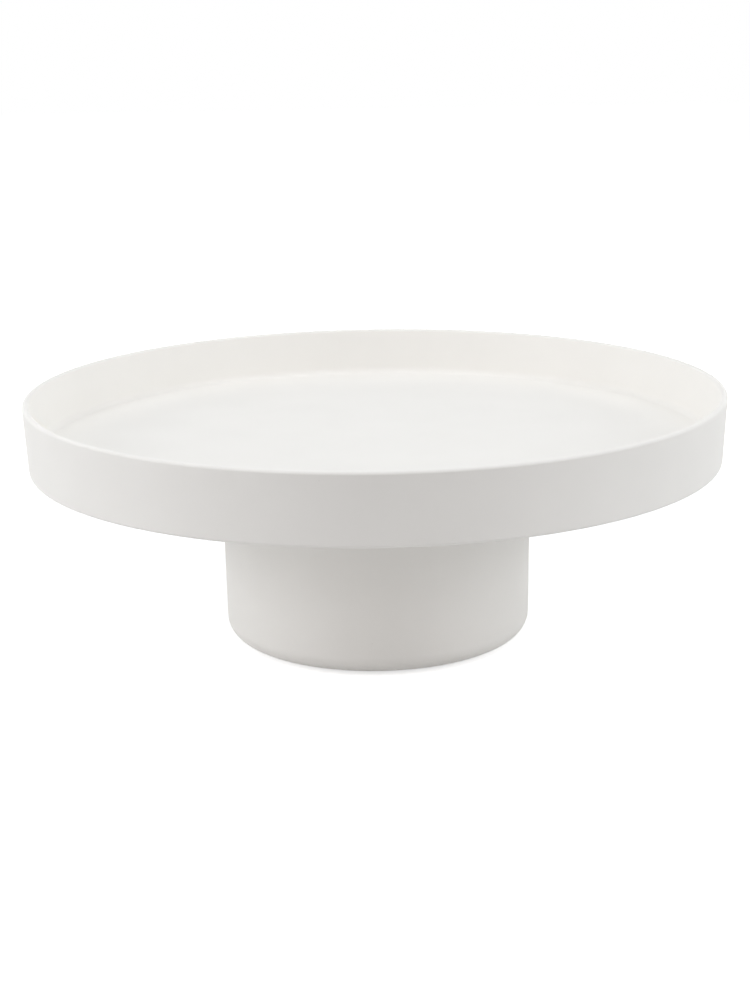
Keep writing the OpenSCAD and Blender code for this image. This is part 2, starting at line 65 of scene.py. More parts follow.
def rgb(hex_code):
    """An sRGB hex colour as linear red, green, blue and alpha."""
    parts = [int(hex_code[at:at + 2], 16) / 255 for at in (1, 3, 5)]
    return (*(c / 12.92 if c <= 0.04045 else ((c + 0.055) / 1.055) ** 2.4 for c in parts), 1.0)


# ---------- Finishes ----------
# All patterns are laid out in object coordinates, in metres: a pattern of size s has the scale 1 / s.

NOISE_LOW, NOISE_HIGH = 0.3, 0.7  # nearly all of a noise lies between these


def finish(name, colour, shade, blotch_mm, roughness, vary, grain_mm, depth_mm,
           squeeze=(1.0, 1.0, 1.0), **sockets):
    """A solid material: two shades in blotches, a roughness that varies, and a fine relief.

    squeeze stretches the relief along the axes where it is under 1, as a tool or a roller does.
    """
    material = bpy.data.materials.new(name)
    material.use_nodes = True
    tree = material.node_tree
    tree.nodes.clear()
    spot = add(tree, "ShaderNodeTexCoord").outputs["Object"]
    clouds = add(tree, "ShaderNodeTexNoise", {
        "Vector": spot, "Scale": 1 / (blotch_mm * MM), "Detail": 3.0}).outputs["Fac"]
    share = add(tree, "ShaderNodeMapRange", {
        "Value": clouds, "From Min": NOISE_LOW, "From Max": NOISE_HIGH}).outputs["Result"]
    shades = add(tree, "ShaderNodeMix", {"Factor": share, "A": rgb(colour), "B": rgb(shade)},
                 data_type="RGBA").outputs["Result"]
    handled = add(tree, "ShaderNodeTexNoise", {
        "Vector": spot, "Scale": 2 / (blotch_mm * MM), "Detail": 4.0}).outputs["Fac"]
    polish = add(tree, "ShaderNodeMapRange", {
        "Value": handled, "From Min": NOISE_LOW, "From Max": NOISE_HIGH,
        "To Min": roughness - vary, "To Max": roughness + vary}).outputs["Result"]
    drawn = add(tree, "ShaderNodeMapping", {"Vector": spot, "Scale": squeeze}).outputs["Vector"]
    grain = add(tree, "ShaderNodeTexNoise", {
        "Vector": drawn, "Scale": 1 / (grain_mm * MM), "Detail": 2.0}).outputs["Fac"]
    relief = add(tree, "ShaderNodeBump", {"Height": grain, "Distance": depth_mm * MM,
                                          "Strength": 1.0})
    shader = add(tree, "ShaderNodeBsdfPrincipled", {
        "Base Color": shades, "Roughness": polish, "Normal": relief.outputs["Normal"],
        **{socket.replace("_", " "): value for socket, value in sockets.items()}})
    add(tree, "ShaderNodeOutputMaterial", {"Surface": shader.outputs["BSDF"]})
    return material


def recolour(material, share, colour):
    """Lays a second colour over a material where share is 1."""
    tree = material.node_tree
    shader = tree.nodes["Principled BSDF"]
    below = shader.inputs["Base Color"].links[0].from_socket
    laid = add(tree, "ShaderNodeMix", {"Factor": share, "A": below, "B": rgb(colour)},
               data_type="RGBA").outputs["Result"]
    tree.links.new(laid, shader.inputs["Base Color"])


def dust(material, cell_mm, radius_mm, strength, colour):
    """Specks of up to radius_mm, one in each cell of space, that show where the surface cuts them."""
    tree = material.node_tree
    spot = add(tree, "ShaderNodeTexCoord").outputs["Object"]
    cells = add(tree, "ShaderNodeTexVoronoi", {"Vector": spot, "Scale": 1 / (cell_mm * MM)}).outputs
    chance = add(tree, "ShaderNodeSeparateColor", {"Color": cells["Color"]}).outputs["Red"]
    radius = add(tree, "ShaderNodeMath", {0: chance, 1: radius_mm / cell_mm},
                 operation="MULTIPLY").outputs[0]
    speck = add(tree, "ShaderNodeMath", {0: cells["Distance"], 1: radius},
                operation="LESS_THAN").outputs[0]
    faint = add(tree, "ShaderNodeMath", {0: speck, 1: strength}, operation="MULTIPLY").outputs[0]
    recolour(material, faint, colour)


def burnish(material, track_r_mm, half_width_mm, roughness, colour):
    """A bright ring round the spin axis, where balls have rolled."""
    tree = material.node_tree
    spot = add(tree, "ShaderNodeTexCoord").outputs["Object"]
    flat_spot = add(tree, "ShaderNodeVectorMath", {0: spot, 1: (1, 1, 0)},
                    operation="MULTIPLY").outputs[0]
    out = add(tree, "ShaderNodeVectorMath", {0: flat_spot}, operation="LENGTH").outputs["Value"]
    on_track = add(tree, "ShaderNodeMath", {0: out, 1: track_r_mm * MM, 2: half_width_mm * MM},
                   operation="COMPARE").outputs[0]
    shader = tree.nodes["Principled BSDF"]
    plated = shader.inputs["Roughness"].links[0].from_socket
    rolled = add(tree, "ShaderNodeMix", {"Factor": on_track, "A": plated, "B": roughness}).outputs[0]
    tree.links.new(rolled, shader.inputs["Roughness"])
    recolour(material, on_track, colour)


# Injection-moulded ABS from a spark-eroded mould: matt, with a fine even grain and the faint
# clouds that the melt leaves. The grain is 0.1 mm on the real thing and is drawn at 0.5 mm.
white_abs = finish("matt_white_moulded_abs", "#F3F1ED", "#F1EFEB", 45, 0.80, 0.03, 0.5, 0.04,
                   IOR=1.54)
# Dust shows on plain white: faint grey-brown specks of up to 0.6 mm across, some 5 cm apart
dust(white_abs, cell_mm=9, radius_mm=0.324, strength=0.12, colour="#8A8478")
# The same plastic from a plainer mould, for the hidden deck: a little glossier and yellower
natural_abs = finish("natural_white_moulded_abs", "#E6E3DA", "#E1DDD2", 30, 0.42, 0.06, 0.8, 0.008,
                     IOR=1.54)
# Nylon as it comes, for the cage and the thrust washer: milky, with a soft sheen
nylon = finish("natural_nylon", "#E8E3D3", "#DED8C4", 8, 0.38, 0.06, 0.3, 0.004,
               IOR=1.53, Subsurface_Weight=0.15, Subsurface_Scale=1 * MM)
# Turned acetal, for the bush: denser and whiter than nylon, waxy, with fine turning marks
acetal = finish("natural_acetal", "#F0EEE6", "#E9E6DC", 8, 0.3, 0.05, 0.15, 0.003,
                squeeze=(0.1, 0.1, 1.0), IOR=1.48, Subsurface_Weight=0.1, Subsurface_Scale=1 * MM)
# Zinc plating on steel screws, bolt and washers: pale blue-grey, slightly clouded
zinc = finish("zinc_plated_steel", "#C6CACE", "#B4B8BA", 3, 0.34, 0.08, 0.2, 0.004, Metallic=1.0)
# Zinc-plated steel sheet, pressed into the races: rolling lines in one direction
zinc_sheet = finish("pressed_zinc_plated_sheet", "#C4C8CC", "#B2B6B8", 6, 0.3, 0.08, 0.25, 0.004,
                    squeeze=(0.05, 1.0, 1.0), Metallic=1.0)
# The balls have burnished a bright track 2.4 mm wide into each race, 40 mm from the spin axis
burnish(zinc_sheet, track_r_mm=40, half_width_mm=1.2, roughness=0.12, colour="#D8D8D6")
# Hardened and lapped bearing balls: almost a mirror, with a trace of grease
ball_steel = finish("polished_bearing_steel", "#D6D7D9", "#CBCBCA", 2, 0.07, 0.03, 0.1, 0.0004,
                    Metallic=1.0)
# Laser-cut mild steel with its mill scale, oiled against rust
mild_steel = finish("oiled_mild_steel", "#6E7275", "#54585B", 14, 0.42, 0.12, 0.6, 0.01,
                    Metallic=1.0)
# Phosphated spring steel: dark, dry and finely crystalline
spring_steel = finish("phosphated_spring_steel", "#4A4D50", "#3B3D40", 2, 0.55, 0.08, 0.1, 0.004,
                      Metallic=1.0)
# Turned brass, with a knurl pressed into it that grips the plastic of the hub
brass = finish("turned_brass", "#C9A24B", "#B88E3C", 3, 0.3, 0.06, 0.12, 0.003,
               squeeze=(0.1, 0.1, 1.0), Metallic=1.0)
# Pale grey silicone for the non-slip ring: dull, and it holds a little dust
silicone = finish("pale_grey_silicone", "#B9B9B7", "#AEAEAB", 12, 0.62, 0.06, 0.4, 0.01,
                  IOR=1.41, Subsurface_Weight=0.1, Subsurface_Scale=1 * MM)
# Black closed-cell foam under the ballast: cells of about 0.6 mm
foam = finish("closed_cell_foam", "#2B2C2E", "#202123", 10, 0.85, 0.05, 0.3, 0.02, IOR=1.5)


# ---------- Turned and repeated shapes ----------

PATH_R = 100 * MM    # the circle that outlines are swept round, set back by as much first
ARC_STEPS = 8        # points on each rounding
ROUND_STEPS = 256    # sides of the large turned pieces
WELD = 1e-6          # points closer than this become one


def sizes_tree(name, sizes):
    """A geometry tree with one named input for each size, lengths in metres and counts whole."""
    tree = bpy.data.node_groups.new(name, "GeometryNodeTree")
    tree.is_modifier = True
    tree.interface.new_socket("Geometry", in_out="OUTPUT", socket_type="NodeSocketGeometry")
    for size, value in sizes.items():
        kind = "NodeSocketInt" if isinstance(value, int) else "NodeSocketFloat"
        tree.interface.new_socket(size, in_out="INPUT", socket_type=kind)
    return tree, add(tree, "NodeGroupInput").outputs


def outline(tree, corners, closed=False):
    """The curve through (radius, height, rounding) corners, which go clockwise in a section."""
    index = add(tree, "GeometryNodeInputIndex").outputs[0]
    places = add(tree, "GeometryNodeIndexSwitch", {"Index": index}, data_type="VECTOR")
    roundings = add(tree, "GeometryNodeIndexSwitch", {"Index": index}, data_type="FLOAT")
    for at, (radius, height, rounding) in enumerate(corners):
        place = add(tree, "ShaderNodeCombineXYZ", {"X": radius, "Y": height}).outputs[0]
        for switch, value in ((places, place), (roundings, rounding)):
            if len(switch.index_switch_items) <= at:
                switch.index_switch_items.new()
            if isinstance(value, bpy.types.NodeSocket):
                tree.links.new(value, switch.inputs[at + 1])
            else:
                switch.inputs[at + 1].default_value = value
    line = add(tree, "GeometryNodeMeshLine", {"Count": len(corners)}).outputs[0]
    curve = add(tree, "GeometryNodeMeshToCurve", {"Mesh": line}).outputs[0]
    curve = add(tree, "GeometryNodeSetPosition",
                {"Geometry": curve, "Position": places.outputs[0]}).outputs[0]
    if closed:
        curve = add(tree, "GeometryNodeSetSplineCyclic",
                    {"Geometry": curve, "Cyclic": True}).outputs[0]
    return add(tree, "GeometryNodeFilletCurve",
               {"Curve": curve, "Count": ARC_STEPS, "Radius": roundings.outputs[0]}, mode="POLY").outputs[0]


def turned(tree, corners, closed=False, segments=ROUND_STEPS):
    """The outline turned round the spin axis, with its poles closed."""
    profile = add(tree, "GeometryNodeTransform", {
        "Geometry": outline(tree, corners, closed),
        "Translation": (-PATH_R, 0, 0), "Rotation": (HALF_TURN, 0, 0)}).outputs[0]
    path = add(tree, "GeometryNodeCurvePrimitiveCircle",
               {"Resolution": segments, "Radius": PATH_R}).outputs[0]
    shell = add(tree, "GeometryNodeCurveToMesh", {"Curve": path, "Profile Curve": profile}).outputs[0]
    return add(tree, "GeometryNodeMergeByDistance", {"Geometry": shell, "Distance": WELD}).outputs[0]


def web(tree, corners, thickness):
    """An upright plate in the plane of the radius, with the outline of the corners."""
    profile = add(tree, "GeometryNodeTransform", {
        "Geometry": outline(tree, corners, closed=True), "Rotation": (HALF_TURN, 0, 0)}).outputs[0]
    ends = [add(tree, "ShaderNodeVectorMath", {0: (0, side, 0), "Scale": thickness},
                operation="SCALE").outputs[0] for side in (-0.5, 0.5)]
    path = add(tree, "GeometryNodeCurvePrimitiveLine", {"Start": ends[0], "End": ends[1]}).outputs[0]
    return add(tree, "GeometryNodeCurveToMesh",
               {"Curve": path, "Profile Curve": profile, "Fill Caps": True}).outputs[0]


def peg(tree, radius, low, high, sides=48):
    """An upright round peg on the spin axis, from one height to another."""
    return turned(tree, [(0.0, high, 0.0), (radius, high, 0.0), (radius, low, 0.0), (0.0, low, 0.0)],
                  segments=sides)


def around(tree, shape, count, radius=0.0, first_turn=0.0):
    """Copies of a shape round the spin axis, moved out to a radius, the first at a turn from +X."""
    out = add(tree, "ShaderNodeCombineXYZ", {"X": radius}).outputs[0]
    moved = add(tree, "GeometryNodeTransform", {"Geometry": shape, "Translation": out}).outputs[0]
    spots = add(tree, "GeometryNodeMeshLine", {"Count": count, "Offset": (0, 0, 0)}).outputs[0]
    step = add(tree, "ShaderNodeMath", {0: FULL_TURN, 1: count}, operation="DIVIDE").outputs[0]
    index = add(tree, "GeometryNodeInputIndex").outputs[0]
    turn = add(tree, "ShaderNodeMath", {0: index, 1: step, 2: first_turn},
               operation="MULTIPLY_ADD").outputs[0]
    euler = add(tree, "ShaderNodeCombineXYZ", {"Z": turn}).outputs[0]
    turning = add(tree, "FunctionNodeEulerToRotation", {0: euler}).outputs[0]
    copies = add(tree, "GeometryNodeInstanceOnPoints",
                 {"Points": spots, "Instance": moved, "Rotation": turning}).outputs[0]
    return add(tree, "GeometryNodeRealizeInstances", {0: copies}).outputs[0]


def joined(tree, *shapes):
    """Several solids made one."""
    return add(tree, "GeometryNodeMeshBoolean", {"Mesh 2": list(shapes)},
               operation="UNION", solver="MANIFOLD").outputs[0]


def cut(tree, shape, *cutters):
    """A solid with others taken out of it."""
    return add(tree, "GeometryNodeMeshBoolean", {"Mesh 1": shape, "Mesh 2": list(cutters)},
               operation="DIFFERENCE", solver="MANIFOLD").outputs[0]


def grow(name, tree, shape, sizes, material, crease=30):
    """Ends the tree, runs it with these sizes, and gives its result as a plain piece.

    It is shaded smooth, apart from edges sharper than the crease angle in degrees.
    """
    angle = add(tree, "GeometryNodeInputMeshEdgeAngle").outputs["Unsigned Angle"]
    sharp = add(tree, "FunctionNodeCompare", {0: angle, 1: math.radians(crease)},
                data_type="FLOAT", operation="GREATER_THAN").outputs[0]
    smooth = add(tree, "GeometryNodeSetShadeSmooth", {"Geometry": shape, "Shade Smooth": True},
                 domain="FACE").outputs[0]
    creased = add(tree, "GeometryNodeSetShadeSmooth",
                  {"Geometry": smooth, "Selection": sharp, "Shade Smooth": False},
                  domain="EDGE").outputs[0]
    whole = add(tree, "GeometryNodeRealizeInstances", {0: creased}).outputs[0]
    done = add(tree, "GeometryNodeSetMaterial", {"Geometry": whole, "Material": material}).outputs[0]
    add(tree, "NodeGroupOutput", {0: done})
    maker = bpy.data.objects.new(name + "_maker", bpy.data.meshes.new(name + "_maker"))
    bpy.context.scene.collection.objects.link(maker)
    modifier = maker.modifiers.new("sizes", "NODES")
    modifier.node_group = tree
    for item in tree.interface.items_tree:
        if item.in_out == "INPUT":
            modifier[item.identifier] = sizes[item.name]
    depsgraph = bpy.context.evaluated_depsgraph_get()
    mesh = bpy.data.meshes.new_from_object(maker.evaluated_get(depsgraph))
    mesh.name = name
    bpy.data.objects.remove(maker)
    piece = bpy.data.objects.new(name, mesh)
    bpy.context.scene.collection.objects.link(piece)
    flats = piece.modifiers.new("flats stay flat", "WEIGHTED_NORMAL")
    flats.keep_sharp = True
    return piece


def in_metres(sizes):
    """Millimetres, rounded to a thousandth, to metres; counts stay as they are."""
    return {name: value if isinstance(value, int) else round(value, 3) * MM
            for name, value in sizes.items()}


# ---------- Dish ----------

# The wall leans in on its way down, and swells a little towards its foot. Sizes in millimetres.
LIP_R = 150.0
LIP_H = 108.5
FLOOR_H = 86.5
WALL = 2.8
WALL_H = 29.0
LEAN = 1.5
SWELL = 0.4
WALL_FOOT_R = LIP_R - LEAN * (LIP_H - FLOOR_H) / WALL_H - WALL - SWELL
# A race's sheet curves round the balls and bulges through between two flat seats.
BALL_CIRCLE = 40.0
BALL_R = 3.0
BALL_FIT = 0.1
RACE_SHEET = 1.2
RACE_GAP = 2.8
BULGE_R = BALL_R + BALL_FIT + RACE_SHEET
FLANGE_BACK = RACE_GAP / 2 + RACE_SHEET
BULGE_ROOM = 0.4
SEAT_AWAY = math.sqrt(BULGE_R ** 2 - FLANGE_BACK ** 2) + BULGE_ROOM
SEAT_W = 2.6
SEAT_IN_R = BALL_CIRCLE - SEAT_AWAY - SEAT_W
RIB_SINK = 1.0  # a rib runs this far into what it meets
DISH = in_metres({
    "Lip radius": LIP_R, "Lip inner radius": LIP_R - WALL, "Lip height": LIP_H, "Lip rounding": 1.3,
    "Wall foot radius": WALL_FOOT_R, "Floor height": FLOOR_H, "Floor rounding": 3.0,
    "Skirt radius": 148.5, "Skirt inner radius": 145.7, "Skirt height": 79.5,
    "Skirt rounding": 1.5, "Skirt root rounding": 1.5, "Edge rounding": 0.4, "Root rounding": 0.6,
    "Underside height": 83.5, "Rib foot height": 80.7,
    "Outer ring radius": 109.0, "Outer ring inner radius": 107.0,
    "Drum ring radius": 71.8, "Drum ring inner radius": 69.8,
    "Seat height": 79.5, "Outer seat radius": BALL_CIRCLE + SEAT_AWAY + SEAT_W,
    "Outer seat inner radius": BALL_CIRCLE + SEAT_AWAY, "Inner seat radius": BALL_CIRCLE - SEAT_AWAY,
    "Inner seat inner radius": SEAT_IN_R,
    "Hub radius": 9.0, "Hub height": 66.0, "Insert radius": 4.75, "Insert top": 78.0,
    "Thread radius": 3.05, "Thread top": 79.5,
    "Rib thickness": 2.0, "Ribs": 12, "Hub ribs": 6,
    "Rib root height": 85.0, "Rib over drum height": 82.5, "Seat rib height": 80.5,
    "Seat rib end": 54.2, "Seat rib slope end": 56.2, "Rib end": 147.1,
    "Hub rib start": 8.0, "Hub rib foot": 69.0, "Hub rib foot end": 9.5,
    "Hub rib waist": 13.0, "Hub rib waist height": 79.5, "Hub rib end": SEAT_IN_R + RIB_SINK,
    "Hub rib end height": 80.5,
    "Bosses": 4, "Boss circle": 48.2, "Boss radius": 4.0,
    "Bore radius": 1.55, "Bore foot": 78.9, "Bore top": 84.9,
})


def make_dish():
    tree, size = sizes_tree("dish_moulding", DISH)
    under, foot = size["Underside height"], size["Rib foot height"]
    seat, root = size["Seat height"], size["Root rounding"]
    edge = size["Edge rounding"]
    corners = [
        (0.0, size["Floor height"], 0.0),
        (size["Wall foot radius"], size["Floor height"], size["Floor rounding"]),
        (size["Lip inner radius"], size["Lip height"], size["Lip rounding"]),
        (size["Lip radius"], size["Lip height"], size["Lip rounding"]),
        (size["Skirt radius"], size["Skirt height"], size["Skirt rounding"]),
        (size["Skirt inner radius"], size["Skirt height"], edge),
        (size["Skirt inner radius"], under, size["Skirt root rounding"]),
    ]
    for ring, height in (("Outer ring", foot), ("Drum ring", foot), ("Outer seat", seat),
                         ("Inner seat", seat)):
        corners += [
            (size[ring + " radius"], under, root), (size[ring + " radius"], height, edge),
            (size[ring + " inner radius"], height, edge), (size[ring + " inner radius"], under, root),
        ]
    corners += [
        (size["Hub radius"], under, root), (size["Hub radius"], size["Hub height"], edge),
        (size["Insert radius"], size["Hub height"], 0.0),
        (size["Insert radius"], size["Insert top"], 0.0),
        (size["Thread radius"], size["Insert top"], 0.0),
        (size["Thread radius"], size["Thread top"], 0.0), (0.0, size["Thread top"], 0.0),
    ]
    ribs = web(tree, [
        (size["Outer seat inner radius"], size["Rib root height"], 0.0),
        (size["Rib end"], size["Rib root height"], 0.0), (size["Rib end"], foot, 0.0),
        (size["Drum ring inner radius"], foot, 0.0),
        (size["Drum ring inner radius"], size["Rib over drum height"], 0.0),
        (size["Seat rib slope end"], size["Rib over drum height"], 0.0),
        (size["Seat rib end"], size["Seat rib height"], 0.0),
        (size["Outer seat inner radius"], size["Seat rib height"], 0.0),
    ], size["Rib thickness"])
    hub_ribs = web(tree, [
        (size["Hub rib start"], size["Rib root height"], 0.0),
        (size["Hub rib end"], size["Rib root height"], 0.0),
        (size["Hub rib end"], size["Hub rib end height"], 0.0),
        (size["Hub rib waist"], size["Hub rib waist height"], 0.0),
        (size["Hub rib foot end"], size["Hub rib foot"], 0.0),
        (size["Hub rib start"], size["Hub rib foot"], 0.0),
    ], size["Rib thickness"])
    boss = peg(tree, size["Boss radius"], seat, size["Rib root height"])
    bore = peg(tree, size["Bore radius"], size["Bore foot"], size["Bore top"], sides=24)
    half_step = HALF_TURN / DISH["Ribs"]
    solid = joined(tree, turned(tree, corners),
                   around(tree, ribs, size["Ribs"], first_turn=half_step),
                   around(tree, hub_ribs, size["Hub ribs"]),
                   around(tree, boss, size["Bosses"], size["Boss circle"], EIGHTH_TURN))
    bores = around(tree, bore, size["Bosses"], size["Boss circle"], EIGHTH_TURN)
    return grow("dish_moulding", tree, cut(tree, solid, bores), DISH, white_abs)


dish = make_dish()
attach(dish, "turning_dish")
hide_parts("dish")


# ---------- Pedestal drum ----------

DRUM = in_metres({
    "Floor height": 3.8, "Wall foot radius": 63.4, "Floor rounding": 5.0,
    "Mouth inner radius": 64.3, "Mouth radius": 67.3, "Mouth height": 81.0,
    "Mouth inner rounding": 0.4, "Mouth rounding": 0.8,
    "Base radius": 66.4, "Base height": 0.8, "Base rounding": 8.0,
    "Groove outer radius": 55.1, "Groove inner radius": 46.9, "Groove top": 2.2,
    "Groove rounding": 0.2,
    "Rib inner radius": 60.8, "Rib outer radius": 64.9, "Rib top": 68.3, "Rib foot": 2.8,
    "Rib outer foot": 8.8, "Rib thickness": 2.0, "Ribs": 12,
    "Root height": 2.3, "Below base": -0.2,
    "Wells": 4, "Well circle": 39.6, "Well radius": 6.4, "Well top": 24.8,
    "Well bore radius": 4.2, "Well bore top": 21.8, "Screw hole radius": 2.25,
    "Screw hole top": 25.8,
    "Bosses": 3, "Boss circle": 26.0, "Boss radius": 4.4, "Boss top": 12.5,
    "Boss bore radius": 2.05, "Boss bore foot": 4.2, "Boss bore top": 13.8,
})


def make_drum():
    tree, size = sizes_tree("pedestal_drum_moulding", DRUM)
    base, lip = size["Base height"], size["Groove rounding"]
    shell = turned(tree, [
        (0.0, size["Floor height"], 0.0),
        (size["Wall foot radius"], size["Floor height"], size["Floor rounding"]),
        (size["Mouth inner radius"], size["Mouth height"], size["Mouth inner rounding"]),
        (size["Mouth radius"], size["Mouth height"], size["Mouth rounding"]),
        (size["Base radius"], base, size["Base rounding"]),
        (size["Groove outer radius"], base, lip),
        (size["Groove outer radius"], size["Groove top"], 0.0),
        (size["Groove inner radius"], size["Groove top"], 0.0),
        (size["Groove inner radius"], base, lip), (0.0, base, 0.0),
    ])
    rib = web(tree, [
        (size["Rib inner radius"], size["Rib top"], 0.0),
        (size["Rib outer radius"], size["Rib top"], 0.0),
        (size["Rib outer radius"], size["Rib outer foot"], 0.0),
        (size["Rib inner radius"], size["Rib foot"], 0.0),
    ], size["Rib thickness"])
    well = peg(tree, size["Well radius"], size["Root height"], size["Well top"])
    boss = peg(tree, size["Boss radius"], size["Root height"], size["Boss top"])
    well_bore = peg(tree, size["Well bore radius"], size["Below base"], size["Well bore top"])
    screw_hole = peg(tree, size["Screw hole radius"], size["Well bore top"], size["Screw hole top"])
    boss_bore = peg(tree, size["Boss bore radius"], size["Boss bore foot"], size["Boss bore top"])
    solid = joined(tree, shell, around(tree, rib, size["Ribs"]),
                   around(tree, well, size["Wells"], size["Well circle"]),
                   around(tree, boss, size["Bosses"], size["Boss circle"], EIGHTH_TURN))
    bores = [around(tree, joined(tree, well_bore, screw_hole), size["Wells"], size["Well circle"]),
             around(tree, boss_bore, size["Bosses"], size["Boss circle"], EIGHTH_TURN)]
    return grow("pedestal_drum_moulding", tree, cut(tree, solid, *bores), DRUM, white_abs)


drum = make_drum()
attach(drum, "pedestal")
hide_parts("pedestal_drum")


# ---------- Bearing ----------

BALLS = in_metres({"Balls": 24, "Ball circle": BALL_CIRCLE, "Ball radius": BALL_R, "Ball height": 76.9})
CAGE = in_metres({
    "Balls": 24, "Ball circle": BALL_CIRCLE, "Web outer radius": 43.95, "Web inner radius": 36.05,
    "Web top": 77.45, "Web foot": 76.35, "Web rounding": 0.2, "Collar radius": 4.45,
    "Collar top": 77.8, "Collar foot": 76.0, "Pocket radius": 3.15, "Pocket top": 78.4,
    "Pocket foot": 75.4,
})


def make_balls():
    tree, size = sizes_tree("bearing_ball_set", BALLS)
    ball = add(tree, "GeometryNodeMeshUVSphere", {
        "Segments": 32, "Rings": 16, "Radius": size["Ball radius"]}).outputs[0]
    lift = add(tree, "ShaderNodeCombineXYZ", {"Z": size["Ball height"]}).outputs[0]
    raised = add(tree, "GeometryNodeTransform", {"Geometry": ball, "Translation": lift}).outputs[0]
    ring = around(tree, raised, size["Balls"], size["Ball circle"])
    return grow("bearing_ball_set", tree, ring, BALLS, ball_steel)


def make_cage():
    tree, size = sizes_tree("ball_cage_moulding", CAGE)
    top, foot, edge = size["Web top"], size["Web foot"], size["Web rounding"]
    ring = turned(tree, [
        (size["Web inner radius"], top, edge), (size["Web outer radius"], top, edge),
        (size["Web outer radius"], foot, edge), (size["Web inner radius"], foot, edge),
    ], closed=True)
    collar = peg(tree, size["Collar radius"], size["Collar foot"], size["Collar top"])
    pocket = peg(tree, size["Pocket radius"], size["Pocket foot"], size["Pocket top"])
    solid = joined(tree, ring, around(tree, collar, size["Balls"], size["Ball circle"]))
    pockets = around(tree, pocket, size["Balls"], size["Ball circle"])
    return grow("ball_cage_moulding", tree, cut(tree, solid, pockets), CAGE, nylon)


for piece, node in ((make_balls(), "bearing_balls"), (make_cage(), "ball_cage")):
    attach(piece, "cage")
    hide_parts(node)


# ---------- Screws ----------

PAN_HEAD = {"Head edge": 0.0, "Under head": 0.0}
DECK_SCREW = {
    **PAN_HEAD, "Head radius": 3.8, "Head height": 2.4, "Head rounding": 1.4, "Shank radius": 2.0,
    "Core radius": 1.55, "Thread radius": 2.0, "Thread pitch": 1.5, "Thread start": -2.0,
    "Thread end": -16.6, "Length": -18.0, "Tip radius": 0.5, "Recess reach": 2.1,
    "Recess foot reach": 1.0, "Recess width": 0.95, "Recess depth": 1.1,
}
BALLAST_SCREW = {
    **DECK_SCREW, "Head radius": 6.9, "Thread start": -0.6, "Thread end": -6.8, "Length": -8.0,
}
RACE_SCREW = {
    "Head edge": -0.15, "Under head": -1.2, "Head radius": 2.7, "Head height": 0.0,
    "Head rounding": 0.08, "Shank radius": 1.5, "Core radius": 1.15, "Thread radius": 1.5,
    "Thread pitch": 1.0, "Thread start": -1.6, "Thread end": -5.2, "Length": -6.0,
    "Tip radius": 0.4, "Recess reach": 1.35, "Recess foot reach": 0.7, "Recess width": 0.7,
    "Recess depth": -0.96,
}
# name: shape, how many, circle, first turn, bearing height, and the turn that points the tip down or up
SCREWS = {
    "deck_screws": (DECK_SCREW, 4, 39.6, 0.0, 21.8, HALF_TURN),
    "ballast_screws": (BALLAST_SCREW, 3, 26.0, EIGHTH_TURN, 12.8, 0.0),
    "lower_race_screws": (RACE_SCREW, 4, 48.2, EIGHTH_TURN, 75.5, 0.0),
    "upper_race_screws": (RACE_SCREW, 4, 48.2, EIGHTH_TURN, 78.3, HALF_TURN),
}

# The ridge of a thread is a triangle with its root inside the core: the root's depth, top and foot,
# in pitches
RIDGE_ROOT = (-0.1, 0.3, -0.3)
CLEAR = 1 * MM  # how far the recess's cutter stands out of the head


